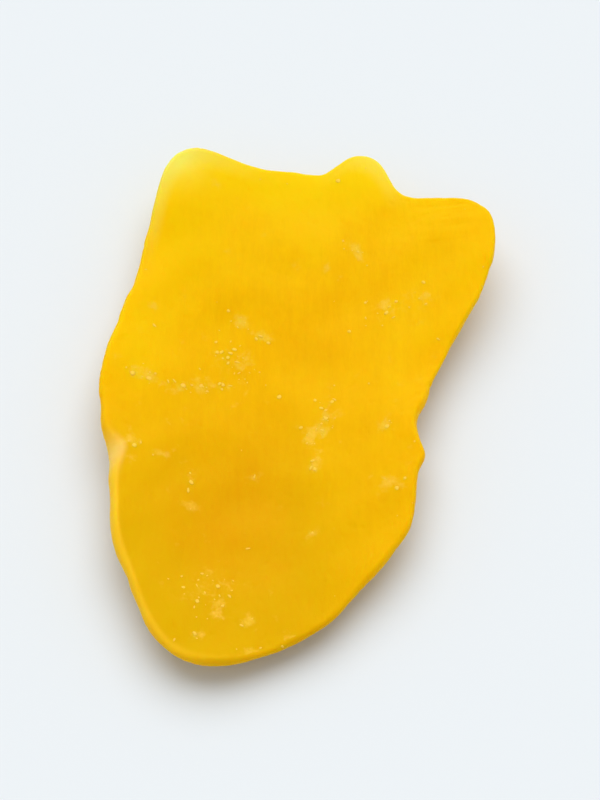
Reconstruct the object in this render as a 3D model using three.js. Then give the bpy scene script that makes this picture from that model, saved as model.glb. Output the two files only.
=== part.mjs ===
// One slice of dried mango, lying on a table with its hollow side up.
//
// It was cut lengthwise from the cheek of the fruit and has dried to a thin, leathery slab: thickest in the
// middle and thin at its rounded rim. Its far corners stand out and lift, its near end is a round tongue, and
// its belly rests on the table. Both faces have shallow shrinkage wrinkles. It is one closed solid.
//
// X runs across the slice and Y along it, away from the viewer. Z is up. Millimetres. The origin is on the
// table, under the middle of the slice's bounding box.

import * as THREE from "three";
import { mergeVertices } from "three/addons/utils/BufferGeometryUtils.js";

const DEGREE = Math.PI / 180;

// Driving dimensions
const HALF_WIDTH = 21.5; // of the plain oval that the outline starts from
const HALF_LENGTH = 35.5;
const MIDDLE_THICKNESS = 3.6;
const RIM_THICKNESS = 1.4;
const EDGE_ROUND = 0.7; // how far the rounding of the rim reaches in
const PRESSED_FLAT = 0.6; // depth of the belly that the table has pressed flat

// How finely the slice is faceted
const FACETS_ACROSS = 36; // on each face
const FACETS_ALONG = 54;
const FACETS_DEEP = 4; // round the rim, from the top face to the underside

// Where the rim leaves the plain oval. Each feature is centred at an angle round the slice, counted from +X
// towards +Y, and fades over its spread, both in degrees. It says how far the rim stands out and lifts there,
// how much thicker it is, and how far its wall slants, in mm.
const RIM_FEATURES = [
  { name: "far right shoulder", at: 46, spread: 17.5, out: 11.9, lift: 1.2, thick: -0.3, slant: 0 },
  { name: "knob", at: 73, spread: 6, out: 5.6, lift: 0.4, thick: -0.3, slant: 0 },
  { name: "knob side", at: 78, spread: 3.6, out: 2, lift: 0, thick: 0, slant: 0 },
  { name: "far edge", at: 87, spread: 6.5, out: 1.1, lift: 0, thick: 0, slant: 0 },
  { name: "far left shoulder", at: 110, spread: 12, out: 7.3, lift: 3, thick: -0.4, slant: 0 },
  { name: "left slope", at: 126, spread: 10, out: 1.3, lift: 0, thick: 0, slant: 0 },
  { name: "left flank", at: 180, spread: 40, out: 1.9, lift: 1.5, thick: 0.2, slant: 0.1 },
  { name: "torn wall", at: 202, spread: 5.5, out: 0, lift: 0, thick: 0.2, slant: 1.1 },
  { name: "cut wall", at: 217, spread: 19, out: 0, lift: 0.5, thick: 0.4, slant: 0.7 },
  { name: "near left bulge", at: 227, spread: 15, out: 3.1, lift: 0.3, thick: 0, slant: 0 },
  { name: "near end", at: 250, spread: 15, out: 6.8, lift: 0.3, thick: 0, slant: 0.2 },
  { name: "near right flat", at: 288, spread: 15, out: -2.5, lift: 0.4, thick: 0, slant: 0 },
  { name: "waist bump", at: 331.5, spread: 4.4, out: 0.9, lift: 0, thick: 0, slant: 0 },
  { name: "right waist", at: 336, spread: 37, out: -4.4, lift: 1.5, thick: 0.3, slant: 0 },
  { name: "nick", at: 345, spread: 7.5, out: -0.7, lift: 0, thick: 0, slant: 0 },
  { name: "right dip", at: 4, spread: 13, out: -0.9, lift: 0, thick: 0, slant: 0 },
];

// Scallops that the knife and the drying leave round the rim: how many, how deep in mm, and where they start.
const SCALLOPS = [
  { count: 13, deep: 0.08, start: 0.7 },
  { count: 22, deep: 0.08, start: 2.1 },
];

// Lengthwise and crosswise curl, as heights in mm at the rim of the plain oval.
const CURL = { side: 2.0, farEnd: 1.0, nearEnd: 0.7 };

// Broad swells and hollows: centre, reach each way, and how far they raise the top face and the underside.
const SWELLS = [
  { name: "belly", x: -0.5, y: 0, wide: 15, long: 24, top: -1.5, under: -1.7 },
  { name: "far rise", x: -1, y: 20, wide: 16, long: 9, top: 0.8, under: 0.8 },
  { name: "hollow", x: -6, y: -18, wide: 9, long: 13, top: -1.5, under: -0.3 },
  { name: "lengthwise fold", x: 3.5, y: -12, wide: 3.2, long: 12, top: 0.8, under: 0.2 },
  { name: "right ridge", x: 11, y: -8, wide: 7, long: 18, top: 0.9, under: 0.8 },
  { name: "far dip", x: 10, y: 16, wide: 9, long: 9, top: -0.6, under: -0.2 },
];

// Shrinkage wrinkles, as long shallow waves: heading in degrees from +X, length and height in mm, and start
// in radians. The bend keeps every wrinkle from running straight, and the underside has its own.
const WRINKLES = [
  { heading: 78, length: 11.5, high: 0.07, start: 0.4 },
  { heading: 112, length: 8.3, high: 0.06, start: 2.2 },
  { heading: 25, length: 13.0, high: 0.08, start: 1.1 },
  { heading: 158, length: 9.1, high: 0.06, start: 5.0 },
];
const WRINKLE_BEND = { length: 31, far: 2.4 };
const UNDERSIDE_START = 2; // radians further along each wave

// How strongly a rim feature counts at an angle: 1 at its middle, fading to 0.
function nearness(feature, angle) {
  const off = angle - feature.at * DEGREE;
  const shortestOff = Math.atan2(Math.sin(off), Math.cos(off));
  return Math.exp(-((shortestOff / (feature.spread * DEGREE)) ** 2));
}

function sumOfFeatures(key, angle) {
  return RIM_FEATURES.reduce((sum, feature) => sum + feature[key] * nearness(feature, angle), 0);
}

// The outline, as a distance from the slice's middle.
function rimRadius(angle) {
  const oval = 1 / Math.hypot(Math.cos(angle) / HALF_WIDTH, Math.sin(angle) / HALF_LENGTH);
  const scallops = SCALLOPS.reduce((sum, s) => sum + s.deep * Math.sin(s.count * angle + s.start), 0);
  return oval + sumOfFeatures("out", angle) + scallops;
}

// Height of the slab's middle layer before the swells. reach runs from 0 in the middle to 1 at the rim.
function curlHeight(x, y, reach, angle) {
  const end = y > 0 ? CURL.farEnd : CURL.nearEnd;
  const curl = CURL.side * (x / HALF_WIDTH) ** 2 + end * (y / HALF_LENGTH) ** 2;
  return curl + sumOfFeatures("lift", angle) * reach ** 3;
}

function slabThickness(reach, angle) {
  const rim = RIM_THICKNESS + sumOfFeatures("thick", angle);
  return rim + (MIDDLE_THICKNESS - rim) * (1 - reach ** 2);
}

// What the swells add to a face, with key "top" or "under".
function swellHeight(key, x, y) {
  return SWELLS.reduce((sum, s) => {
    const fade = Math.exp(-(((x - s.x) / s.wide) ** 2) - ((y - s.y) / s.long) ** 2);
    return sum + s[key] * fade;
  }, 0);
}

function wrinkleHeight(x, y, furtherAlong) {
  const bentX = x + WRINKLE_BEND.far * Math.sin((2 * Math.PI * y) / WRINKLE_BEND.length);
  const bentY = y + WRINKLE_BEND.far * Math.sin((2 * Math.PI * x) / WRINKLE_BEND.length);
  return WRINKLES.reduce((sum, w) => {
    const across = bentX * Math.cos(w.heading * DEGREE) + bentY * Math.sin(w.heading * DEGREE);
    return sum + w.high * Math.sin((2 * Math.PI * across) / w.length + w.start + furtherAlong);
  }, 0);
}

// Turns a square of side 2 into a disc of radius 1, and says where on it a point lands.
function squareToDisc(a, b) {
  const across = a * Math.sqrt(1 - b ** 2 / 2);
  const along = b * Math.sqrt(1 - a ** 2 / 2);
  return { reach: Math.hypot(across, along), turn: Math.atan2(along, across) };
}

// Carries a point of a cube of side 2 to the slice: two of the cube's sides become the slice's faces, and the
// four between them become its rim.
function slicePoint(a, b, c) {
  const { reach, turn } = squareToDisc(a, b);
  const angle = Math.atan2(HALF_LENGTH * Math.sin(turn), HALF_WIDTH * Math.cos(turn));
  const tilt = c * (Math.PI / 2); // a right angle on the top face, down to minus that on the underside
  const towardsTop = 0.5 + 0.5 * Math.sin(tilt);

  const inset = EDGE_ROUND * (1 - Math.cos(tilt)) + sumOfFeatures("slant", angle) * towardsTop;
  const radius = reach * (rimRadius(angle) - inset);
  const x = radius * Math.cos(angle);
  const y = radius * Math.sin(angle);

  const swell = swellHeight("under", x, y) * (1 - towardsTop) + swellHeight("top", x, y) * towardsTop;
  const half = (slabThickness(reach, angle) / 2) * Math.sin(tilt);
  const wrinkle = wrinkleHeight(x, y, c > 0 ? 0 : UNDERSIDE_START) * Math.sin(tilt) ** 2 * Math.sign(c);
  return { x, y, z: curlHeight(x, y, reach, angle) + swell + half + wrinkle };
}

function makeSlice() {
  const blank = new THREE.BoxGeometry(2, 2, 2, FACETS_ACROSS, FACETS_ALONG, FACETS_DEEP);
  blank.deleteAttribute("normal");
  blank.deleteAttribute("uv");
  const slice = mergeVertices(blank);
  const places = slice.getAttribute("position");
  for (let i = 0; i < places.count; i++) {
    const { x, y, z } = slicePoint(places.getX(i), places.getY(i), places.getZ(i));
    places.setXYZ(i, x, y, z);
  }

  slice.computeBoundingBox();
  const { min, max } = slice.boundingBox;
  slice.translate(-(min.x + max.x) / 2, -(min.y + max.y) / 2, -min.z - PRESSED_FLAT);
  for (let i = 0; i < places.count; i++) {
    places.setZ(i, Math.max(places.getZ(i), 0));
  }
  slice.computeVertexNormals();
  return slice;
}

const flesh = new THREE.MeshStandardMaterial({ color: 0xf9be08, roughness: 0.5, metalness: 0 });

const slice = new THREE.Mesh(makeSlice(), flesh);
slice.name = "mango_slice";

const driedMango = new THREE.Group();
driedMango.add(slice);

export default driedMango;
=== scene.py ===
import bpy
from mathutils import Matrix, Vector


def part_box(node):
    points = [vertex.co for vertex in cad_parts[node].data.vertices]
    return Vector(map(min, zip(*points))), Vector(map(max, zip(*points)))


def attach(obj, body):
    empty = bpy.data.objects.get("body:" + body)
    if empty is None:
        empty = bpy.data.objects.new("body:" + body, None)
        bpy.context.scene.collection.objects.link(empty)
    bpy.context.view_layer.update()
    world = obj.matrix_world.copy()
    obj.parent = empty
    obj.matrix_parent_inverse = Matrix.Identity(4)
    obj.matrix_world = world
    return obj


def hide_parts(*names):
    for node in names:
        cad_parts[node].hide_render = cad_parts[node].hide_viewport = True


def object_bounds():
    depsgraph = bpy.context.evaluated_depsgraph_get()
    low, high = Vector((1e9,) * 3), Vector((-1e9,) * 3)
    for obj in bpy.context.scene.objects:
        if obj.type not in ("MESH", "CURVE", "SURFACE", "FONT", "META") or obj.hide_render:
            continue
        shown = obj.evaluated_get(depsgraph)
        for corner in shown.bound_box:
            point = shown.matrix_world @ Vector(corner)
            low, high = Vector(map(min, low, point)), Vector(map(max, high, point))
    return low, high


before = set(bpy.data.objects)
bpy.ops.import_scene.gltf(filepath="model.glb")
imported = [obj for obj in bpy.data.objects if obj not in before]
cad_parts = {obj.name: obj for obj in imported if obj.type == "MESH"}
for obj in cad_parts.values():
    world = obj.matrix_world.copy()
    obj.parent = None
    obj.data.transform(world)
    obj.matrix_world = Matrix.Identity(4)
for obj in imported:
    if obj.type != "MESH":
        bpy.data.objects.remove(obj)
SOLID_BOX = [list(corner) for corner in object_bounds()]

import math
from typing import NamedTuple

import bpy
import numpy as np
from bpy.props import FloatProperty, FloatVectorProperty, IntProperty, PointerProperty
from bpy.types import NodeSocket, Operator, Panel, PropertyGroup
from mathutils import Quaternion, Vector, noise

bl_info = {
    "name": "Dried Mango Slice",
    "version": (1, 0, 0),
    "blender": (4, 5, 0),
    "location": "3D View > Sidebar > Mango",
    "description": "Makes one curled slice of dried mango with its sugar grains, and a studio for it",
    "category": "Add Mesh",
}

# All sizes are in metres. X runs across the slice, Y along it and Z up. The slice is shaped round its own
# middle, and is then carried to the box of the solid that it stands for.
MM = 0.001
SOLID = "mango_slice"
BODY = "root"
SLICE_PIECE = "dried_mango_slice"
SUGAR_PIECE = "dried_sugar_grains"
SHAPE_MIDDLE = "shape_middle"  # under this name the slice keeps how far sideways it was carried


# ---------------------------------------------------------------------------------------------------------
# The form of the slice, the same as the solid's
# ---------------------------------------------------------------------------------------------------------


class RimFeature(NamedTuple):
    """A place on the rim, at an angle round the slice and fading over a spread, both in degrees.

    It says how far the rim stands out and lifts there, how much thicker it is and how far its wall slants.
    """

    at: float
    spread: float
    out: float = 0.0
    lift: float = 0.0
    thick: float = 0.0
    slant: float = 0.0


class Swell(NamedTuple):
    """A broad swell or hollow: its centre, its reach each way, and how far it raises each face."""

    x: float
    y: float
    wide: float
    long: float
    top: float
    under: float


class Wave(NamedTuple):
    """A long shallow shrinkage wrinkle. Its heading is in degrees and its start in radians."""

    heading: float
    length: float
    high: float
    start: float


RIM_FEATURES = {
    "far right shoulder": RimFeature(46, 17.5, out=11.9 * MM, lift=1.2 * MM, thick=-0.3 * MM),
    "knob": RimFeature(73, 6, out=5.6 * MM, lift=0.4 * MM, thick=-0.3 * MM),
    "knob side": RimFeature(78, 3.6, out=2.0 * MM),
    "far edge": RimFeature(87, 6.5, out=1.1 * MM),
    "far left shoulder": RimFeature(110, 12, out=7.3 * MM, lift=3.0 * MM, thick=-0.4 * MM),
    "left slope": RimFeature(126, 10, out=1.3 * MM),
    "left flank": RimFeature(180, 40, out=1.9 * MM, lift=1.5 * MM, thick=0.2 * MM, slant=0.1 * MM),
    "torn wall": RimFeature(202, 5.5, thick=0.2 * MM, slant=1.1 * MM),
    "cut wall": RimFeature(217, 19, lift=0.5 * MM, thick=0.4 * MM, slant=0.7 * MM),
    "near left bulge": RimFeature(227, 15, out=3.1 * MM, lift=0.3 * MM),
    "near end": RimFeature(250, 15, out=6.8 * MM, lift=0.3 * MM, slant=0.2 * MM),
    "near right flat": RimFeature(288, 15, out=-2.5 * MM, lift=0.4 * MM),
    "waist bump": RimFeature(331.5, 4.4, out=0.9 * MM),
    "right waist": RimFeature(336, 37, out=-4.4 * MM, lift=1.5 * MM, thick=0.3 * MM),
    "nick": RimFeature(345, 7.5, out=-0.7 * MM),
    "right dip": RimFeature(4, 13, out=-0.9 * MM),
}
SCALLOPS = ((13, 0.08 * MM, 0.7), (22, 0.08 * MM, 2.1))  # how many, how deep and where they start
CURL_AT_SIDES = 2.0 * MM
CURL_AT_FAR_END = 1.0 * MM
CURL_AT_NEAR_END = 0.7 * MM
SWELLS = {
    "belly": Swell(-0.5 * MM, 0.0, 15 * MM, 24 * MM, top=-1.5 * MM, under=-1.7 * MM),
    "far rise": Swell(-1 * MM, 20 * MM, 16 * MM, 9 * MM, top=0.8 * MM, under=0.8 * MM),
    "hollow": Swell(-6 * MM, -18 * MM, 9 * MM, 13 * MM, top=-1.5 * MM, under=-0.3 * MM),
    "lengthwise fold": Swell(3.5 * MM, -12 * MM, 3.2 * MM, 12 * MM, top=0.8 * MM, under=0.2 * MM),
    "right ridge": Swell(11 * MM, -8 * MM, 7 * MM, 18 * MM, top=0.9 * MM, under=0.8 * MM),
    "far dip": Swell(10 * MM, 16 * MM, 9 * MM, 9 * MM, top=-0.6 * MM, under=-0.2 * MM),
}
WRINKLES = (
    Wave(78, 11.5 * MM, 0.07 * MM, 0.4),
    Wave(112, 8.3 * MM, 0.06 * MM, 2.2),
    Wave(25, 13.0 * MM, 0.08 * MM, 1.1),
    Wave(158, 9.1 * MM, 0.06 * MM, 5.0),
)
WRINKLE_BEND_LENGTH = 31 * MM  # every wrinkle sways once in this length
WRINKLE_BEND = 2.4 * MM  # and this far either way
UNDERSIDE_START = 2.0  # radians further along each wave


def nearness(feature, angle):
    """How strongly a rim feature counts at an angle: 1 at its middle, fading to 0."""
    off = angle - math.radians(feature.at)
    shortest_off = np.arctan2(np.sin(off), np.cos(off))
    return np.exp(-((shortest_off / math.radians(feature.spread)) ** 2))


def sum_of_features(key, angle):
    return sum(getattr(feature, key) * nearness(feature, angle) for feature in RIM_FEATURES.values())


def rim_radius(sizes, angle):
    """The outline, as a distance from the slice's middle."""
    oval = 1 / np.hypot(np.cos(angle) / sizes.half_width, np.sin(angle) / sizes.half_length)
    scallops = sum(deep * np.sin(count * angle + start) for count, deep, start in SCALLOPS)
    return oval + sum_of_features("out", angle) + scallops


def curl_height(sizes, x, y, reach, angle):
    """Height of the slab's middle layer before the swells. reach is 0 in the middle and 1 at the rim."""
    end = np.where(y > 0, CURL_AT_FAR_END, CURL_AT_NEAR_END)
    curl = CURL_AT_SIDES * (x / sizes.half_width) ** 2 + end * (y / sizes.half_length) ** 2
    return curl + sum_of_features("lift", angle) * reach**3


def slab_thickness(sizes, reach, angle):
    rim = sizes.rim_thickness + sum_of_features("thick", angle)
    return rim + (sizes.middle_thickness - rim) * (1 - reach**2)


def fade(x, y, centre_x, centre_y, wide, long):
    """1 at a centre, fading to 0 over its reach each way."""
    return np.exp(-(((x - centre_x) / wide) ** 2) - ((y - centre_y) / long) ** 2)


def swell_height(key, x, y):
    """What the swells add to a face, with key "top" or "under"."""
    return sum(getattr(s, key) * fade(x, y, s.x, s.y, s.wide, s.long) for s in SWELLS.values())


def wrinkle_height(x, y, further_along):
    bent_x = x + WRINKLE_BEND * np.sin(2 * math.pi * y / WRINKLE_BEND_LENGTH)
    bent_y = y + WRINKLE_BEND * np.sin(2 * math.pi * x / WRINKLE_BEND_LENGTH)
    height = np.zeros_like(x)
    for wave in WRINKLES:
        heading = math.radians(wave.heading)
        across = bent_x * math.cos(heading) + bent_y * math.sin(heading)
        height += wave.high * np.sin(2 * math.pi * across / wave.length + wave.start + further_along)
    return height


def place_on_slice(sizes, a, b, c):
    """Carries points of a cube of side 2 to the slice: two sides become its faces, four its rim."""
    across = a * np.sqrt(1 - b**2 / 2)
    along = b * np.sqrt(1 - a**2 / 2)
    reach = np.hypot(across, along)
    turn = np.arctan2(along, across)
    angle = np.arctan2(sizes.half_length * np.sin(turn), sizes.half_width * np.cos(turn))
    tilt = c * math.pi / 2
    towards_top = 0.5 + 0.5 * np.sin(tilt)

    inset = sizes.edge_round * (1 - np.cos(tilt)) + sum_of_features("slant", angle) * towards_top
    radius = reach * (rim_radius(sizes, angle) - inset)
    x = radius * np.cos(angle)
    y = radius * np.sin(angle)

    swell = swell_height("under", x, y) * (1 - towards_top) + swell_height("top", x, y) * towards_top
    half = slab_thickness(sizes, reach, angle) / 2 * np.sin(tilt)
    further_along = np.where(c > 0, 0.0, UNDERSIDE_START)
    wrinkle = wrinkle_height(x, y, further_along) * np.sin(tilt) ** 2 * np.sign(c)
    z = curl_height(sizes, x, y, reach, angle) + swell + half + wrinkle
    return np.column_stack((x, y, z)), reach, angle


# ---------------------------------------------------------------------------------------------------------
# The mesh
# ---------------------------------------------------------------------------------------------------------


def cube_grid(across, along, deep):
    """Points and outward faces of a closed cube of side 2, split evenly each way."""
    a, b = np.meshgrid(np.linspace(-1, 1, across + 1), np.linspace(-1, 1, along + 1), indexing="ij")
    top = np.arange(a.size).reshape(a.shape)
    under = top + a.size
    rim = [(i, 0) for i in range(across)]
    rim += [(across, j) for j in range(along)]
    rim += [(i, along) for i in range(across, 0, -1)]
    rim += [(0, j) for j in range(along, 0, -1)]

    points = [np.column_stack((a.ravel(), b.ravel(), np.full(a.size, side))) for side in (1.0, -1.0)]
    rings = [[top[place] for place in rim]]
    for level in range(1, deep):
        depth = 1 - 2 * level / deep
        first = sum(len(block) for block in points)
        points.append(np.array([(a[place], b[place], depth) for place in rim]))
        rings.append(list(range(first, first + len(rim))))
    rings.append([under[place] for place in rim])

    def squares(grid):
        corners = (grid[:-1, :-1], grid[1:, :-1], grid[1:, 1:], grid[:-1, 1:])
        return np.stack([corner.ravel() for corner in corners], axis=1)

    faces = [squares(top), squares(under)[:, ::-1]]
    for upper, lower in zip(rings, rings[1:]):
        faces.append(np.stack((lower, np.roll(lower, -1), np.roll(upper, -1), upper), axis=1))
    return np.vstack(points), np.vstack(faces)


def make_object(name, points, faces):
    mesh = bpy.data.meshes.new(name)
    mesh.from_pydata(points.tolist(), [], faces.tolist())
    mesh.shade_smooth()
    made = bpy.data.objects.new(name, mesh)
    bpy.context.scene.collection.objects.link(made)
    return made


def outward(mesh):
    """The mesh's vertex normals as an array."""
    normals = np.empty(len(mesh.vertices) * 3)
    mesh.vertex_normals.foreach_get("vector", normals)
    return normals.reshape(-1, 3)


# ---------------------------------------------------------------------------------------------------------
# Noise and ramps
# ---------------------------------------------------------------------------------------------------------

FINER_EACH_TIME = 2.0  # how many times finer each octave of noise is than the one before
WEAKER_EACH_TIME = 1.0  # and how much weaker, as a power of that


def noise_at(places, grain, octaves=2):
    """Smooth noise of about -1 to 1. grain is the size of its lumps, one for each way."""
    stretched = places / np.array(grain)
    heights = [
        noise.fractal(Vector(place), WEAKER_EACH_TIME, FINER_EACH_TIME, octaves) for place in stretched
    ]
    return np.array(heights)


def ramp(values, low, high):
    """0 below low, 1 above high, and smooth between."""
    part = np.clip((values - low) / (high - low), 0, 1)
    return part * part * (3 - 2 * part)


# ---------------------------------------------------------------------------------------------------------
# The fine relief of dried flesh
# ---------------------------------------------------------------------------------------------------------

# Where a grain has three sizes, they are those of its lumps across, along and up.
LUMP_GRAIN = (3.4 * MM, 4.6 * MM, 3.4 * MM)
LUMP_HEIGHT = 0.07 * MM
FIBRE_GRAIN = (0.65 * MM, 4.5 * MM, 1.6 * MM)
FIBRE_PATCH_GRAIN = (6.0 * MM, 9.0 * MM, 6.0 * MM)
FIBRE_PATCHES = (-0.2, 0.5)  # the noise where the fibres start, and where they are at their full height
FIBRE_HEIGHT = 0.045 * MM
FIBRES_DRAW_IN = 0.22  # how much closer the fibres lie at the ends than in the middle
FIBRE_SWAY = 0.8 * MM
FIBRE_SWAY_GRAIN = (8.0 * MM, 6.0 * MM, 8.0 * MM)
PUCKER_RING = 22 * MM  # the puckers are spread on a ring of this radius, so that they close up
PUCKER_GRAIN = (1.9 * MM, 1.9 * MM, 1.9 * MM)
PUCKER_HEIGHT = 0.09 * MM
PUCKERS_START = 0.86  # of the way to the rim
PIT_GRAIN = (0.9 * MM, 1.1 * MM, 0.9 * MM)
PIT_DEPTH = 0.05 * MM
PITS = (0.35, 0.7)  # the noise where a pit starts, and where it is at its full depth
TORN_GRAIN = (1.1 * MM, 1.1 * MM, 1.1 * MM)
TORN_HEIGHT = 0.16 * MM
TORN_START = 0.93  # of the way to the rim
PLEATS_X = 22.5 * MM  # where the pleats are, and then their reach each way
PLEATS_Y = 28 * MM
PLEATS_WIDE = 5.5 * MM
PLEATS_LONG = 5.5 * MM
PLEAT_GRAIN = (7.0 * MM, 1.1 * MM, 7.0 * MM)
PLEAT_HEIGHT = 0.10 * MM


def along_fibres(sizes, places):
    """Straightens the flesh's fibres, which sway and draw in towards both ends."""
    straight = places.copy()
    straight[:, 0] /= 1 - FIBRES_DRAW_IN * (places[:, 1] / sizes.half_length) ** 2
    straight[:, 0] += FIBRE_SWAY * noise_at(places, FIBRE_SWAY_GRAIN)
    return straight


def fine_relief(sizes, places, reach, angle):
    """How far each point stands out of the plain form."""
    x, y = places[:, 0], places[:, 1]
    lumps = LUMP_HEIGHT * noise_at(places, LUMP_GRAIN, octaves=3)
    patchy = ramp(noise_at(places, FIBRE_PATCH_GRAIN), *FIBRE_PATCHES)
    fibres = FIBRE_HEIGHT * patchy * noise_at(along_fibres(sizes, places), FIBRE_GRAIN)
    ring = np.column_stack((np.cos(angle), np.sin(angle), reach)) * PUCKER_RING
    puckers = PUCKER_HEIGHT * ramp(reach, PUCKERS_START, 1.0) * noise_at(ring, PUCKER_GRAIN)
    torn = TORN_HEIGHT * nearness(RIM_FEATURES["torn wall"], angle) * ramp(reach, TORN_START, 1.0)
    torn = torn * noise_at(places, TORN_GRAIN, octaves=3)
    pits = -PIT_DEPTH * ramp(noise_at(places, PIT_GRAIN), *PITS)
    near_pleats = fade(x, y, PLEATS_X, PLEATS_Y, PLEATS_WIDE, PLEATS_LONG)
    pleats = PLEAT_HEIGHT * near_pleats * noise_at(places, PLEAT_GRAIN)
    return lumps + fibres + puckers + torn + pits + pleats


# ---------------------------------------------------------------------------------------------------------
# Where sugar has dried on the face
# ---------------------------------------------------------------------------------------------------------


class BloomPatch(NamedTuple):
    """A patch of pale dried sugar: its centre, its reach along and across, and its strength.

    Its heading is in degrees from +X.
    """

    x: float
    y: float
    long: float
    wide: float
    heading: float
    strength: float


BLOOM_PATCHES = (
    BloomPatch(-5.7 * MM, 12.3 * MM, 1.8 * MM, 0.7 * MM, 127, 1),
    BloomPatch(-2.5 * MM, 10.0 * MM, 0.9 * MM, 0.7 * MM, 0, 0.8),
    BloomPatch(-6.6 * MM, 6.6 * MM, 3.2 * MM, 1.9 * MM, 120, 0.5),
    BloomPatch(-17.8 * MM, 3.2 * MM, 1.6 * MM, 0.9 * MM, 150, 1),
    BloomPatch(-11.0 * MM, 2.4 * MM, 4.4 * MM, 0.9 * MM, 5, 0.8),
    BloomPatch(-16.6 * MM, 13.9 * MM, 0.8 * MM, 0.6 * MM, 70, 0.7),
    BloomPatch(5.2 * MM, -2.0 * MM, 2.8 * MM, 1.3 * MM, 80, 0.65),
    BloomPatch(3.8 * MM, -4.8 * MM, 1.5 * MM, 0.8 * MM, 45, 0.9),
    BloomPatch(3.8 * MM, -8.9 * MM, 1.6 * MM, 0.6 * MM, 90, 0.9),
    BloomPatch(13.5 * MM, -12.9 * MM, 1.0 * MM, 0.9 * MM, 0, 1),
    BloomPatch(12.7 * MM, -4.3 * MM, 0.7 * MM, 0.7 * MM, 0, 0.8),
    BloomPatch(8.6 * MM, 23.6 * MM, 2.0 * MM, 0.7 * MM, 130, 1),
    BloomPatch(5.3 * MM, 20.6 * MM, 0.9 * MM, 0.6 * MM, 100, 0.5),
    BloomPatch(15.2 * MM, 14.0 * MM, 3.4 * MM, 1.8 * MM, 10, 0.4),
    BloomPatch(12.7 * MM, 14.9 * MM, 0.8 * MM, 0.6 * MM, 40, 0.9),
    BloomPatch(17.9 * MM, 14.9 * MM, 0.8 * MM, 0.6 * MM, 80, 0.9),
    BloomPatch(-12.0 * MM, -10.9 * MM, 1.4 * MM, 0.6 * MM, 100, 0.6),
    BloomPatch(-15.6 * MM, -8.4 * MM, 0.9 * MM, 0.5 * MM, 20, 0.7),
    BloomPatch(-11.8 * MM, -15.8 * MM, 1.2 * MM, 0.5 * MM, 160, 0.6),
    BloomPatch(-4.0 * MM, -10.4 * MM, 1.5 * MM, 0.4 * MM, 10, 0.5),
    BloomPatch(3.8 * MM, -19.5 * MM, 1.0 * MM, 0.7 * MM, 20, 0.6),
    BloomPatch(-9.0 * MM, -27.8 * MM, 3.8 * MM, 3.0 * MM, 120, 0.4),
    BloomPatch(-8.5 * MM, -30.8 * MM, 1.2 * MM, 0.6 * MM, 90, 0.7),
    BloomPatch(-4.6 * MM, -32.4 * MM, 0.9 * MM, 0.6 * MM, 0, 0.8),
    BloomPatch(-10.3 * MM, -34.8 * MM, 1.0 * MM, 0.6 * MM, 40, 0.6),
    BloomPatch(-3.9 * MM, -36.2 * MM, 1.2 * MM, 0.5 * MM, 10, 0.6),
    BloomPatch(0.5 * MM, -34.8 * MM, 1.0 * MM, 0.5 * MM, 30, 0.6),
    BloomPatch(-19.5 * MM, -7.0 * MM, 2.2 * MM, 0.9 * MM, 95, 0.7),
)
FLECK_SIZES = (0.35 * MM, 0.85 * MM)
FLECK_NARROWNESS = (0.35, 0.9)  # how wide a fleck is, as a share of how long
FLECK_STRENGTHS = (0.4, 0.9)  # as a share of its patch's
FLECK_SCATTER = 0.75  # how far the flecks stray, as a share of their patch's reach
FLECK_TURNS = 35  # degrees that a fleck is turned away from its patch
FLECKS_IN_A_PATCH = 3
PATCH_FOR_A_FLECK = 0.4 * MM * MM  # a patch has one more fleck for each such area
LONE_FLECKS = 90
LONE_FLECKS_WITHIN = 0.9  # the share of the face that has them, from its middle out
LONE_FLECK_STRENGTHS = (0.15, 0.6)
POWDER_IN_A_PATCH = 0.40  # how thick the powder is between the flecks of a patch


def scattered_flecks(sizes, seed):
    """Small caked flecks of sugar: some in each patch of bloom and some alone."""
    chance = np.random.default_rng(seed)
    flecks = []

    def add(x, y, heading, strength):
        long = chance.uniform(*FLECK_SIZES)
        wide = long * chance.uniform(*FLECK_NARROWNESS)
        flecks.append(BloomPatch(x, y, long, wide, heading, strength))

    for patch in BLOOM_PATCHES:
        heading = math.radians(patch.heading)
        for _ in range(FLECKS_IN_A_PATCH + round(patch.long * patch.wide / PATCH_FOR_A_FLECK)):
            along = chance.normal(0, FLECK_SCATTER * patch.long)
            across = chance.normal(0, FLECK_SCATTER * patch.wide)
            x = patch.x + along * math.cos(heading) - across * math.sin(heading)
            y = patch.y + along * math.sin(heading) + across * math.cos(heading)
            turned = patch.heading + chance.normal(0, FLECK_TURNS)
            add(x, y, turned, patch.strength * chance.uniform(*FLECK_STRENGTHS))
    for _ in range(LONE_FLECKS):
        turn = chance.uniform(0, 2 * math.pi)
        radius = math.sqrt(chance.uniform(0, LONE_FLECKS_WITHIN)) * rim_radius(sizes, turn)
        heading = chance.uniform(0, 180)
        add(radius * math.cos(turn), radius * math.sin(turn), heading, chance.uniform(*LONE_FLECK_STRENGTHS))
    return flecks


def bloom_strength(patches, x, y):
    """How thick the dried sugar lies at a place: 0 is none and 1 the most."""
    strength = 0.0
    for patch in patches:
        heading = math.radians(patch.heading)
        along = (x - patch.x) * math.cos(heading) + (y - patch.y) * math.sin(heading)
        across = (y - patch.y) * math.cos(heading) - (x - patch.x) * math.sin(heading)
        here = np.exp(-((along / patch.long) ** 2) - (across / patch.wide) ** 2)
        strength = strength + patch.strength * here
    return np.clip(strength, 0, 1)


def bloom_on_face(sizes, seed, places):
    """How thick the dried sugar lies at each point: flecks, with powder between them."""
    x, y = places[:, 0], places[:, 1]
    powder = POWDER_IN_A_PATCH * bloom_strength(BLOOM_PATCHES, x, y)
    return np.clip(bloom_strength(scattered_flecks(sizes, seed), x, y) + powder, 0, 1)


# ---------------------------------------------------------------------------------------------------------
# Where the colour of the flesh changes, and where light and shade are painted on it
# ---------------------------------------------------------------------------------------------------------


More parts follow.
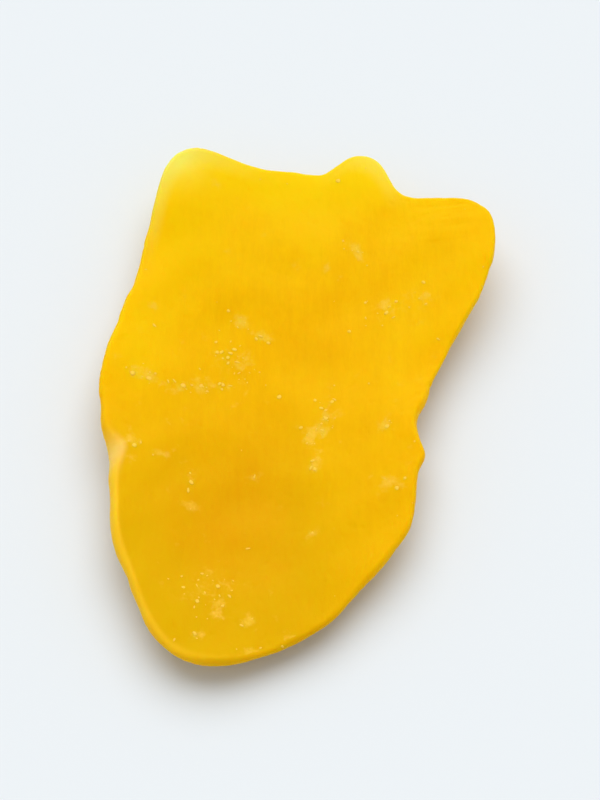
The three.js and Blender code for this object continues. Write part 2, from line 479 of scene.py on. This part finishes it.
class FaceColour(NamedTuple):
    """A place on the faces where a colour comes through: its centre, its reach each way and its strength."""

    x: float
    y: float
    wide: float
    long: float
    strength: float


class RimColour(NamedTuple):
    """A stretch of the rim where a colour comes through, at an angle and fading over a spread, in degrees.

    It grows from nothing at the share start of the way out to its full strength at the rim.
    """

    at: float
    spread: float
    start: float
    strength: float


HOLLOW = SWELLS["hollow"]
FOLD = SWELLS["lengthwise fold"]
# Painted shade: the flesh is painted deeper orange in the hollow, across the middle and in the far dip. The
# fold's negative strength paints it lighter, as painted light on the ridge.
PAINTED_SHADE_AND_LIGHT_SPOTS = (
    FaceColour(HOLLOW.x, HOLLOW.y, HOLLOW.wide, HOLLOW.long, 0.7),
    FaceColour(FOLD.x, FOLD.y, FOLD.wide, FOLD.long, -0.28),
    FaceColour(-3 * MM, 3 * MM, 14 * MM, 18 * MM, 0.25),
    FaceColour(8.5 * MM, 5 * MM, 6 * MM, 8 * MM, 0.16),
    FaceColour(14 * MM, 19 * MM, 9 * MM, 9 * MM, 0.2),
)
# Painted light: the far end and two places on the left side are painted brighter, where the light falls on
# them.
LEFT_SIDE_PAINTED_LIGHT = (
    FaceColour(-20 * MM, 8 * MM, 5 * MM, 9 * MM, 0.42),
    FaceColour(-15 * MM, 28 * MM, 5 * MM, 7 * MM, 0.4),
)
FAR_END_PAINTED_LIGHT = (26 * MM, 38 * MM)  # from y to y, growing
# Painted light: the far left corner and thin stretches of the rim are painted paler, for light coming through
# the thin flesh.
CORNER_PAINTED_LIGHT = FaceColour(-13.8 * MM, 36 * MM, 2.8 * MM, 3.2 * MM, 0.45)
RIM_PAINTED_LIGHT = (RimColour(112, 11, 0.92, 0.65), RimColour(73, 6, 0.92, 0.45))
# Painted light: the cut wall is painted paler where it catches the light. The torn wall keeps its own colour.
CUT_WALL_PAINTED_LIGHT = (RimColour(217, 19, 0.98, 0.65), RimColour(244, 14, 0.98, 0.35))
TORN_RIM = RimColour(204, 5, 0.955, 0.85)
# Painted shade: the near end is painted duller, with less of it towards the right side.
NEAR_END_PAINTED_SHADE = (22 * MM, -30 * MM)  # from y to y, growing
RIGHT_SIDE_LESS_PAINTED_SHADE = (0.0, 12 * MM)  # from x to x, growing
PAINTED_SHADE_LOST_AT_RIGHT = 0.4


def face_strength(colours, x, y):
    """How strongly a colour comes through at a place on the faces."""
    return sum(c.strength * fade(x, y, c.x, c.y, c.wide, c.long) for c in colours)


def rim_strength(colours, reach, angle):
    """How strongly a colour comes through near the rim."""
    return sum(c.strength * nearness(c, angle) * ramp(reach, c.start, 1.0) for c in colours)


def near_end_painted_shade_strength(x, y):
    """How strongly painted shade dulls the flesh: 0 at the far end and 1 at the near end, but less at the
    right side.
    """
    low, high = NEAR_END_PAINTED_SHADE
    return ramp(-y, -low, -high) * (1 - PAINTED_SHADE_LOST_AT_RIGHT * ramp(x, *RIGHT_SIDE_LESS_PAINTED_SHADE))


def colour_strengths(places, reach, angle):
    """For each colour that comes through somewhere, its strength from 0 to 1 at each point."""
    x, y = places[:, 0], places[:, 1]
    # near carries painted shade at the near end, bright and pale carry painted light, deep carries painted
    # shade with painted light on the fold, and cut carries painted light on the cut wall.
    strengths = {
        "near": near_end_painted_shade_strength(x, y),
        "bright": ramp(y, *FAR_END_PAINTED_LIGHT) + face_strength(LEFT_SIDE_PAINTED_LIGHT, x, y),
        "deep": face_strength(PAINTED_SHADE_AND_LIGHT_SPOTS, x, y),
        "pale": face_strength([CORNER_PAINTED_LIGHT], x, y) + rim_strength(RIM_PAINTED_LIGHT, reach, angle),
        "cut": rim_strength(CUT_WALL_PAINTED_LIGHT, reach, angle),
        "torn": rim_strength([TORN_RIM], reach, angle),
    }
    return {name: np.clip(strength, 0, 1) for name, strength in strengths.items()}


def store(mesh, name, values):
    """Keeps one number for each point, for the flesh's finish to read."""
    mesh.attributes.new(name, "FLOAT", "POINT").data.foreach_set("value", values.astype(np.float32))


def settle_in_box(points, box_low, box_high, pressed_flat):
    """The move that centres the points in the box, with their belly pressed flat on its floor."""
    low, high = points.min(axis=0), points.max(axis=0)
    sideways = (box_low + box_high)[:2] / 2 - (low + high)[:2] / 2
    down = box_low[2] - pressed_flat - low[2]
    return np.array((*sideways, down))


# ---------------------------------------------------------------------------------------------------------
# What the finishes are put together from
# ---------------------------------------------------------------------------------------------------------

# The sockets of a Mix node that mixes colours
MIX_FACTOR = 0
MIX_FIRST = 6
MIX_SECOND = 7
MIX_RESULT = 2


class Grade(NamedTuple):
    """Carries the range low..high to another one, smoothly."""

    low: float
    high: float
    to_low: float = 0.0
    to_high: float = 1.0


class Bump(NamedTuple):
    """How strongly a height is felt, from 0 to 1, and how far it stands out."""

    strength: float
    far: float


def put(tree, kind, inputs, **settings):
    """Adds a node. An input is a socket to join it to, or a plain value."""
    node = tree.nodes.new(kind)
    for name, value in settings.items():
        setattr(node, name, value)
    for name, value in inputs.items():
        if isinstance(value, NodeSocket):
            tree.links.new(value, node.inputs[name])
        else:
            node.inputs[name].default_value = value
    return node


def maths(tree, operation, first, second):
    return put(tree, "ShaderNodeMath", {0: first, 1: second}, operation=operation).outputs[0]


def mix_colours(tree, factor, first, second):
    inputs = {MIX_FACTOR: factor, MIX_FIRST: first, MIX_SECOND: second}
    return put(tree, "ShaderNodeMix", inputs, data_type="RGBA").outputs[MIX_RESULT]


def graded(tree, value, grade):
    """The value, carried to the grade's other range."""
    low, high, to_low, to_high = grade
    inputs = {"Value": value, "From Min": low, "From Max": high, "To Min": to_low, "To Max": to_high}
    return put(tree, "ShaderNodeMapRange", inputs, interpolation_type="SMOOTHSTEP").outputs[0]


def lumpy(tree, coordinates, grain, detail=2.0, roughness=0.5, wander=0.0):
    """Noise with lumps of the size grain, one for each way. wander is how much the lumps bend."""
    scale = tuple(1 / size for size in grain)
    stretched = put(tree, "ShaderNodeMapping", {"Vector": coordinates, "Scale": scale}).outputs[0]
    inputs = {"Vector": stretched, "Scale": 1.0, "Detail": detail, "Roughness": roughness}
    return put(tree, "ShaderNodeTexNoise", {**inputs, "Distortion": wander}).outputs["Fac"]


def bumpy(tree, bumps):
    """A surface with bumps on bumps. Each has a height, a strength and how far it stands out."""
    normal = None
    for height, (strength, far) in bumps:
        inputs = {"Height": height, "Strength": strength, "Distance": far}
        if normal is not None:
            inputs["Normal"] = normal
        normal = put(tree, "ShaderNodeBump", inputs).outputs[0]
    return normal


def stored(tree, name):
    """A number that the mesh keeps for each point."""
    return put(tree, "ShaderNodeAttribute", {}, attribute_name=name).outputs["Fac"]


def place_on_piece(tree):
    return put(tree, "ShaderNodeTexCoord", {}).outputs["Object"]


def opaque(colour):
    return (*colour, 1.0)


def empty_material(name):
    """A material with nothing in it yet, and its node tree."""
    material = bpy.data.materials.new(name)
    material.use_nodes = True
    material.node_tree.nodes.clear()
    return material, material.node_tree


def shade(tree, inputs, **settings):
    """Gives a material its surface."""
    shader = put(tree, "ShaderNodeBsdfPrincipled", inputs, **settings)
    put(tree, "ShaderNodeOutputMaterial", {"Surface": shader.outputs[0]})


# ---------------------------------------------------------------------------------------------------------
# The finish of the flesh
# ---------------------------------------------------------------------------------------------------------

# The unevenness of the flesh, from coarse to fine
MOTTLE_GRAIN = (9 * MM, 12 * MM, 9 * MM)
STREAK_GRAIN = (0.9 * MM, 7 * MM, 2 * MM)
SHORT_FIBRE_GRAIN = (0.42 * MM, 1.9 * MM, 0.9 * MM)
SPECK_GRAIN = (0.55 * MM, 0.55 * MM, 0.55 * MM)
FINE_GRAIN = (0.30 * MM, 0.40 * MM, 0.30 * MM)

# What it does to the depth of the colour, and to the edge and the thickness of the powder
DEEPER_WITH_MOTTLE = Grade(0.3, 0.75, -0.12, 0.16)
DEEPER_WITH_STREAKS = Grade(0.35, 0.7, -0.04, 0.06)
DEEPER_WITH_FIBRES = Grade(0.3, 0.7, -0.06, 0.06)
RAGGED_WITH_SPECKS = Grade(0.25, 0.75, -0.25, 0.25)
CAKED_WHERE_THICK = Grade(0.12, 1.2, 0.0, 0.75)
GRAINY_POWDER = Grade(0.3, 0.7, 0.55, 1.0)

MOTTLE_RANGE = (0.3, 0.7)  # the part of the mottle that the roughness follows
ROUGHNESS_CHANGE = 0.06  # how far it strays either way
POWDER_ROUGHNESS = 0.25  # what full powder adds to it

STREAK_BUMP = Bump(0.30, 0.08 * MM)
SHORT_FIBRE_BUMP = Bump(0.45, 0.06 * MM)
FINE_BUMP = Bump(0.45, 0.04 * MM)
POWDER_BUMP = Bump(0.5, 0.05 * MM)

LIGHT_SPREAD = 1.2 * MM  # how far light spreads inside the flesh
SPREAD_OF_COLOURS = (1.0, 0.42, 0.04)  # the shares of that for red, green and blue light
FLESH_SHINE = 0.12  # where 0.5 is a plain polished surface
FLESH_IOR = 1.45


def depth_and_painted_shade(tree, mottle, streaks, fibres):
    """How deep the flesh is in colour: painted shade by its place on the slice, and a tone that differs
    unevenly at each grain.
    """
    depth = maths(tree, "ADD", stored(tree, "deep"), graded(tree, mottle, DEEPER_WITH_MOTTLE))
    depth = maths(tree, "ADD", depth, graded(tree, streaks, DEEPER_WITH_STREAKS))
    return maths(tree, "ADD", depth, graded(tree, fibres, DEEPER_WITH_FIBRES))


def flesh_colour(tree, looks, depth):
    """The colour of the bare flesh, with painted shade at the near end and in the hollow and painted light at
    the far end, the left side, the thin rim and the cut wall. Each colour comes through what is before it.
    """
    colour = mix_colours(tree, stored(tree, "near"), opaque(looks.flesh), opaque(looks.near_flesh_painted_shade))
    for strength, coming_through in (
        (depth, looks.deep_tone_and_painted_shade),
        (stored(tree, "bright"), looks.flesh_painted_light),
        (stored(tree, "pale"), looks.thin_rim_painted_light),
        (stored(tree, "cut"), looks.cut_wall_painted_light),
        (stored(tree, "torn"), looks.torn_flesh),
    ):
        colour = mix_colours(tree, strength, colour, opaque(coming_through))
    return colour


def sugar_powder(tree, fine, specks):
    """How much of the flesh the powder of dried sugar hides, with a ragged edge."""
    ragged = maths(tree, "ADD", stored(tree, "bloom"), graded(tree, specks, RAGGED_WITH_SPECKS))
    caked = graded(tree, ragged, CAKED_WHERE_THICK)
    return maths(tree, "MULTIPLY", caked, graded(tree, fine, GRAINY_POWDER))


def flesh_roughness(tree, looks, mottle, powder):
    """The flesh is a little shinier here and there, and duller under powder."""
    shiniest, dullest = looks.roughness - ROUGHNESS_CHANGE, looks.roughness + ROUGHNESS_CHANGE
    uneven = graded(tree, mottle, Grade(*MOTTLE_RANGE, shiniest, dullest))
    dulled = maths(tree, "MULTIPLY", powder, POWDER_ROUGHNESS)
    return maths(tree, "ADD", uneven, dulled)


def dried_flesh(looks):
    """Waxy, slightly see-through fruit flesh, paler where sugar has dried on it, with painted light at its
    rim and far end and painted shade at its near end and hollow.
    """
    material, tree = empty_material("dried_mango_flesh")
    place = place_on_piece(tree)
    mottle = lumpy(tree, place, MOTTLE_GRAIN, detail=3.0)
    streaks = lumpy(tree, place, STREAK_GRAIN, detail=3.0)
    fibres = lumpy(tree, place, SHORT_FIBRE_GRAIN, roughness=0.6, wander=1.2)
    fine = lumpy(tree, place, FINE_GRAIN, detail=3.0, roughness=0.6)
    powder = sugar_powder(tree, fine, lumpy(tree, place, SPECK_GRAIN))

    bare_colour = flesh_colour(tree, looks, depth_and_painted_shade(tree, mottle, streaks, fibres))
    bumps = (
        (streaks, STREAK_BUMP),
        (fibres, SHORT_FIBRE_BUMP),
        (fine, FINE_BUMP),
        (powder, POWDER_BUMP),
    )
    inputs = {
        "Base Color": mix_colours(tree, powder, bare_colour, opaque(looks.sugar_bloom)),
        "Roughness": flesh_roughness(tree, looks, mottle, powder),
        "Normal": bumpy(tree, bumps),
        "Subsurface Weight": looks.translucence,
        "Subsurface Radius": SPREAD_OF_COLOURS,
        "Subsurface Scale": LIGHT_SPREAD,
        "Specular IOR Level": FLESH_SHINE,
        "Specular Tint": opaque(looks.sheen),
        "IOR": FLESH_IOR,
    }
    shade(tree, inputs, subsurface_method="RANDOM_WALK")
    return material


# ---------------------------------------------------------------------------------------------------------
# The finish of the sugar
# ---------------------------------------------------------------------------------------------------------

STAIN_GRAIN = (0.9 * MM, 0.9 * MM, 0.9 * MM)
STAINED = Grade(0.35, 0.65)
SUGAR_ROUGHNESS = 0.5
SUGAR_SHINE = 0.1


def dried_sugar(looks):
    """Small cloudy crystals, stained by the fruit's juice."""
    material, tree = empty_material("dried_sugar")
    stain = graded(tree, lumpy(tree, place_on_piece(tree), STAIN_GRAIN), STAINED)
    colour = mix_colours(tree, stain, opaque(looks.sugar), opaque(looks.sugar_bloom))
    shade(tree, {"Base Color": colour, "Roughness": SUGAR_ROUGHNESS, "Specular IOR Level": SUGAR_SHINE})
    return material


# ---------------------------------------------------------------------------------------------------------
# Settings, as a user sees them
# ---------------------------------------------------------------------------------------------------------


def length_setting(name, description, default):
    return FloatProperty(name=name, description=description, default=default, min=0.0, unit="LENGTH")


def colour_setting(name, description, default):
    return FloatVectorProperty(
        name=name, description=description, default=default, size=3, min=0.0, max=1.0, subtype="COLOR"
    )


def share_setting(name, description, default):
    return FloatProperty(
        name=name, description=description, default=default, min=0.0, max=1.0, subtype="FACTOR"
    )


def angle_setting(name, description, degrees):
    return FloatProperty(
        name=name, description=description, default=math.radians(degrees), min=0.0, subtype="ANGLE"
    )


def brightness_setting(name, description, default):
    return FloatProperty(name=name, description=description, default=default, min=0.0)


def count_setting(name, description, default):
    return IntProperty(name=name, description=description, default=default, min=1)


class MangoSliceSizes(PropertyGroup):
    """The slab that the slice was cut as."""

    half_width: length_setting("Half width", "Half the width of the oval behind the outline", 21.5 * MM)
    half_length: length_setting("Half length", "Half the length of that oval", 35.5 * MM)
    middle_thickness: length_setting("Middle thickness", "How thick the slice is in the middle", 3.6 * MM)
    rim_thickness: length_setting("Rim thickness", "How thick the slice is at its rim", 1.4 * MM)
    edge_round: length_setting("Edge rounding", "How far the rounding of the rim reaches in", 0.7 * MM)
    pressed_flat: length_setting("Pressed flat", "Depth of the belly that the table presses flat", 0.6 * MM)
    squares_across: count_setting("Squares across", "Mesh squares across each face", 168)
    squares_along: count_setting("Squares along", "Mesh squares along each face", 232)
    squares_deep: count_setting("Squares deep", "Mesh squares round the rim, from face to face", 10)


class MangoLooks(PropertyGroup):
    """Colours and finish of the flesh and the sugar on it, with colours that paint light and shade on the
    flesh.
    """

    flesh: colour_setting("Flesh", "The flesh in the far half", (1.0, 0.548, 0.001))
    # Painted light: the far end and the left side are painted in this brighter colour.
    flesh_painted_light: colour_setting("Bright flesh", "The flesh at the far end and left side", (1.0, 0.64, 0.001))
    # Painted shade: the near end is painted in this duller colour.
    near_flesh_painted_shade: colour_setting("Near flesh", "The duller flesh at the near end", (0.78, 0.45, 0.001))
    # Deeper orange: a riper tone where the mottle, streaks and fibres fall, and painted shade in the hollow
    # and the middle.
    deep_tone_and_painted_shade: colour_setting("Deep flesh", "The flesh where it is thicker or riper", (0.80, 0.37, 0.001))
    # Painted light: light coming through the thin rim is painted in as this paler colour.
    thin_rim_painted_light: colour_setting("Thin rim", "The flesh where light comes through it", (0.97, 0.82, 0.12))
    # Painted light: the cut wall is painted in this paler colour where it catches the light.
    cut_wall_painted_light: colour_setting("Cut flesh", "The inner flesh, where the knife shows it", (1.0, 0.62, 0.03))
    torn_flesh: colour_setting("Torn flesh", "The inner flesh, where a tear shows it", (1.0, 0.62, 0.13))
    sugar_bloom: colour_setting("Sugar bloom", "The powder that dries on the flesh", (1.0, 0.61, 0.065))
    sugar: colour_setting("Sugar", "Single grains of sugar", (1.0, 0.65, 0.06))
    sheen: colour_setting("Sheen", "What light picks up as the waxy face throws it back", (1.0, 0.66, 0.01))
    roughness: share_setting("Roughness", "0 is wet and 1 is chalky", 0.50)
    translucence: share_setting("Translucence", "How much light passes into the flesh", 0.8)


class SugarGrains(PropertyGroup):
    """Grains of sugar that have dried on the top face."""

    count: count_setting("Count", "How many grains", 190)
    smallest: length_setting("Smallest", "Across the smallest grain", 0.20 * MM)
    largest: length_setting("Largest", "Across the largest grain", 0.75 * MM)
    seed: IntProperty(name="Seed", description="Another number scatters them another way", default=7, min=0)


class MangoStudio(PropertyGroup):
    """The plain floor, the soft light and the camera."""

    floor: colour_setting("Floor", "The pale floor", (0.825, 0.85, 0.865))
    sky: colour_setting("Sky", "The even light from all round", (0.93, 0.97, 1.0))
    sky_strength: brightness_setting("Sky strength", "Brightness of that light", 0.55)
    backdrop_brightness: brightness_setting("Backdrop", "How bright the sky looks", 0.92)
    window_strength: brightness_setting("Window", "Brightness of the soft window", 1.83)
    window_spread: angle_setting("Window spread", "How wide the window looks", 70)
    camera_elevation: angle_setting("Elevation", "How high the camera stands", 55)
    camera_distance: length_setting("Camera distance", "From the camera to the slice", 0.42)
    lens: FloatProperty(name="Lens", description="Focal length", default=150.0, min=1.0, unit="CAMERA")


# ---------------------------------------------------------------------------------------------------------
# The slice
# ---------------------------------------------------------------------------------------------------------


class MANGO_OT_shape_slice(Operator):
    """Make the slice of dried mango"""

    bl_idname = "mango.shape_slice"
    bl_label = "Shape the Slice"
    bl_options = {"REGISTER", "UNDO"}

    def execute(self, context):
        sizes = context.scene.mango_slice
        grid, faces = cube_grid(sizes.squares_across, sizes.squares_along, sizes.squares_deep)
        places, reach, angle = place_on_slice(sizes, *grid.T)
        low, high = (np.array(corner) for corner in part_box(SOLID))
        move = settle_in_box(places, low, high, sizes.pressed_flat)

        slice_piece = make_object(SLICE_PIECE, places, faces)
        slice_piece[SHAPE_MIDDLE] = move[:2].tolist()
        mesh = slice_piece.data
        relief = fine_relief(sizes, places, reach, angle)
        finished = np.clip(places + outward(mesh) * relief[:, None] + move, low, high)
        mesh.vertices.foreach_set("co", finished.astype(np.float32).ravel())

        on_top = grid[:, 2] == 1
        store(mesh, "bloom", on_top * bloom_on_face(sizes, context.scene.mango_sugar.seed, places))
        for name, strength in colour_strengths(places, reach, angle).items():
            store(mesh, name, strength)
        mesh.update()
        mesh.materials.append(dried_flesh(context.scene.mango_looks))

        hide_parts(SOLID)
        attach(slice_piece, BODY)
        return {"FINISHED"}


# ---------------------------------------------------------------------------------------------------------
# The grains of sugar
# ---------------------------------------------------------------------------------------------------------

GRAIN_SIDES = 9
GRAIN_RINGS = ((1.0, -0.6), (0.95, 0.1), (0.7, 0.6), (0.35, 0.92))  # how wide and how high each ring is
GRAIN_POINTS = len(GRAIN_RINGS) * GRAIN_SIDES + 2
GRAIN_UNEVENNESS = 0.22
GRAIN_NARROWNESS = (0.3, 1.0)  # how wide a grain is, as a share of how long
GRAIN_HEIGHTS = (0.06, 0.12)  # how high it stands, as a share of how long
GRAINS_OFF_THE_BLOOM = 0.007  # how likely a grain is on bare flesh, where 1 is the thickest bloom
GRAINS_AT_THE_RIM = 0.010  # what the rim adds to that
GRAINS_RIM = (0.88, 0.97)  # of the way out, from where to where the rim begins to count
STEEPEST_FOR_A_GRAIN = 0.6  # the upward part of the face's normal
TRIES_FOR_A_GRAIN = 2000  # how many spots are drawn for each grain, at most
HIGH_ABOVE = 1.0  # metres over the floor, where the search for the face starts


def grain_faces():
    """Triangles of one grain: a fan below, bands between its rings and a fan on top."""
    sides = np.arange(GRAIN_SIDES)
    following = np.roll(sides, -1)
    last = (len(GRAIN_RINGS) - 1) * GRAIN_SIDES
    under, top = GRAIN_POINTS - 2, GRAIN_POINTS - 1
    faces = [np.stack((np.full_like(sides, under), following, sides), axis=1)]
    for start in range(0, last, GRAIN_SIDES):
        lower, lower_following = start + sides, start + following
        upper, upper_following = lower + GRAIN_SIDES, lower_following + GRAIN_SIDES
        faces.append(np.stack((lower, lower_following, upper_following), axis=1))
        faces.append(np.stack((lower, upper_following, upper), axis=1))
    faces.append(np.stack((last + sides, last + following, np.full_like(sides, top)), axis=1))
    return np.vstack(faces)


def grain_points(chance, size, spot, normal):
    """One uneven, flattened grain that sits on the face."""
    turns = np.arange(GRAIN_SIDES) * 2 * math.pi / GRAIN_SIDES + chance.uniform(0, 2 * math.pi)
    narrow = chance.uniform(*GRAIN_NARROWNESS)
    high = chance.uniform(*GRAIN_HEIGHTS)
    points = []
    for wide, level in GRAIN_RINGS:
        radius = wide * (1 + chance.uniform(-GRAIN_UNEVENNESS, GRAIN_UNEVENNESS, GRAIN_SIDES)) / 2
        across, along = radius * np.cos(turns), radius * np.sin(turns) * narrow
        points.append(np.column_stack((across, along, np.full(GRAIN_SIDES, level * high))))
    points.append(np.array(((0, 0, GRAIN_RINGS[0][1] * high), (0, 0, high))))
    heading = Quaternion((0, 0, 1), chance.uniform(0, 2 * math.pi))
    turn = Vector((0, 0, 1)).rotation_difference(normal) @ heading
    return np.vstack(points) * size @ np.array(turn.to_matrix()).T + np.array(spot)


def grain_likelihood(sizes, x, y):
    """How likely a grain of sugar is to lie at a place."""
    way_out = math.hypot(x, y) / rim_radius(sizes, math.atan2(y, x))
    at_rim = GRAINS_AT_THE_RIM * ramp(way_out, *GRAINS_RIM)
    return bloom_strength(BLOOM_PATCHES, x, y) + at_rim + GRAINS_OFF_THE_BLOOM


def spots_for_grains(sizes, grains, slice_piece, chance):
    """Yields the size, the spot and the face's normal for one grain after another."""
    low, high = (np.array(corner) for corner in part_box(SOLID))
    middle = slice_piece[SHAPE_MIDDLE]
    for _ in range(TRIES_FOR_A_GRAIN * grains.count):
        x, y = chance.uniform(low[:2], high[:2])
        size = grains.smallest + (grains.largest - grains.smallest) * chance.random() ** 2
        if chance.random() > grain_likelihood(sizes, x - middle[0], y - middle[1]):
            continue
        hit, spot, normal, _ = slice_piece.ray_cast(Vector((x, y, HIGH_ABOVE)), Vector((0, 0, -1)))
        if hit and normal.z >= STEEPEST_FOR_A_GRAIN and spot.z + size <= high[2]:
            yield size, spot, normal


class MANGO_OT_sprinkle_sugar(Operator):
    """Set grains of dried sugar into the slice's top face"""

    bl_idname = "mango.sprinkle_sugar"
    bl_label = "Sprinkle the Sugar"
    bl_options = {"REGISTER", "UNDO"}

    def execute(self, context):
        sizes = context.scene.mango_slice
        grains = context.scene.mango_sugar
        slice_piece = bpy.data.objects.get(SLICE_PIECE)
        if slice_piece is None:
            raise RuntimeError("Shape the slice before the sugar is sprinkled on it")
        context.view_layer.update()

        chance = np.random.default_rng(grains.seed)
        points = []
        for size, spot, normal in spots_for_grains(sizes, grains, slice_piece, chance):
            points.append(grain_points(chance, size, spot, normal))
            if len(points) == grains.count:
                break
        else:
            raise RuntimeError("The slice has no room for so many grains of that size")
        one_grain = grain_faces()
        faces = [one_grain + GRAIN_POINTS * number for number in range(grains.count)]

        sugar = make_object(SUGAR_PIECE, np.vstack(points), np.vstack(faces))
        sugar.data.materials.append(dried_sugar(context.scene.mango_looks))
        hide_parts(SOLID)
        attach(sugar, BODY)
        return {"FINISHED"}


# ---------------------------------------------------------------------------------------------------------
# The studio
# ---------------------------------------------------------------------------------------------------------

FLOOR_HALF = 3.0  # metres from its middle to each side
FLOOR_ROUGHNESS = 0.8
FLOOR_SHINE = 0.1
WINDOW_DIRECTION = Vector((0.0, 0.42, 0.90))  # towards the window, which is overhead and behind the slice
NEAREST_SEEN = 10 * MM


def lay_floor(studio):
    """A plain square floor at the height that the slice rests on."""
    square = np.array(((-1, -1, 0), (1, -1, 0), (1, 1, 0), (-1, 1, 0)))
    floor = make_object("floor", square * FLOOR_HALF, np.array(((0, 1, 2, 3),)))
    material, tree = empty_material("matt_floor")
    colour = opaque(studio.floor)
    shade(tree, {"Base Color": colour, "Roughness": FLOOR_ROUGHNESS, "Specular IOR Level": FLOOR_SHINE})
    floor.data.materials.append(material)


def even_sky(studio):
    """An even sky that lights gently, and that the camera sees as bright as the floor."""
    world = bpy.data.worlds.new("even_sky")
    world.use_nodes = True
    tree = world.node_tree
    tree.nodes.clear()
    seen = put(tree, "ShaderNodeLightPath", {}).outputs["Is Camera Ray"]
    brightness = graded(tree, seen, Grade(0.0, 1.0, studio.sky_strength, studio.backdrop_brightness))
    sky = put(tree, "ShaderNodeBackground", {"Color": opaque(studio.sky), "Strength": brightness})
    put(tree, "ShaderNodeOutputWorld", {"Surface": sky.outputs[0]})
    return world


def hang_window(studio):
    """Soft even light from far off, as wide as a large window looks."""
    light = bpy.data.lights.new("overhead_window", "SUN")
    light.energy = studio.window_strength
    light.angle = studio.window_spread
    lamp = bpy.data.objects.new("overhead_window", light)
    lamp.rotation_euler = WINDOW_DIRECTION.to_track_quat("Z", "Y").to_euler()
    bpy.context.scene.collection.objects.link(lamp)


def stand_camera(studio):
    """A camera that looks down at the middle of the slice from its near end."""
    low, high = (Vector(corner) for corner in SOLID_BOX)
    elevation = studio.camera_elevation
    back = Vector((0, -math.cos(elevation), math.sin(elevation)))
    camera = bpy.data.objects.new("camera", bpy.data.cameras.new("camera"))
    camera.data.lens = studio.lens
    camera.data.clip_start = NEAREST_SEEN
    camera.location = (low + high) / 2 + back * studio.camera_distance
    camera.rotation_euler = (-back).to_track_quat("-Z", "Y").to_euler()
    bpy.context.scene.collection.objects.link(camera)
    return camera


class MANGO_OT_set_studio(Operator):
    """Set up the floor, the light and the camera"""

    bl_idname = "mango.set_studio"
    bl_label = "Set Up the Studio"
    bl_options = {"REGISTER", "UNDO"}

    def execute(self, context):
        studio = context.scene.mango_studio
        context.scene.view_settings.view_transform = "Standard"
        lay_floor(studio)
        context.scene.world = even_sky(studio)
        hang_window(studio)
        context.scene.camera = stand_camera(studio)
        return {"FINISHED"}


# ---------------------------------------------------------------------------------------------------------
# The panel, and the whole
# ---------------------------------------------------------------------------------------------------------


class MANGO_PT_workshop(Panel):
    """Everything that makes the slice, in order"""

    bl_label = "Dried Mango Slice"
    bl_space_type = "VIEW_3D"
    bl_region_type = "UI"
    bl_category = "Mango"

    def draw(self, context):
        layout = self.layout
        scene = context.scene
        for name in scene.mango_looks.__annotations__:
            layout.prop(scene.mango_looks, name)
        for settings, operator in (
            (scene.mango_slice, MANGO_OT_shape_slice),
            (scene.mango_sugar, MANGO_OT_sprinkle_sugar),
            (scene.mango_studio, MANGO_OT_set_studio),
        ):
            box = layout.box()
            for name in settings.__annotations__:
                box.prop(settings, name)
            box.operator(operator.bl_idname)


CLASSES = (
    MangoSliceSizes,
    MangoLooks,
    SugarGrains,
    MangoStudio,
    MANGO_OT_shape_slice,
    MANGO_OT_sprinkle_sugar,
    MANGO_OT_set_studio,
    MANGO_PT_workshop,
)


def register():
    for cls in CLASSES:
        bpy.utils.register_class(cls)
    bpy.types.Scene.mango_slice = PointerProperty(type=MangoSliceSizes)
    bpy.types.Scene.mango_looks = PointerProperty(type=MangoLooks)
    bpy.types.Scene.mango_sugar = PointerProperty(type=SugarGrains)
    bpy.types.Scene.mango_studio = PointerProperty(type=MangoStudio)


def unregister():
    for name in ("mango_slice", "mango_looks", "mango_sugar", "mango_studio"):
        delattr(bpy.types.Scene, name)
    for cls in reversed(CLASSES):
        bpy.utils.unregister_class(cls)


def main():
    register()
    bpy.ops.mango.shape_slice()
    bpy.ops.mango.sprinkle_sugar()
    bpy.ops.mango.set_studio()


if __name__ == "__main__":
    main()
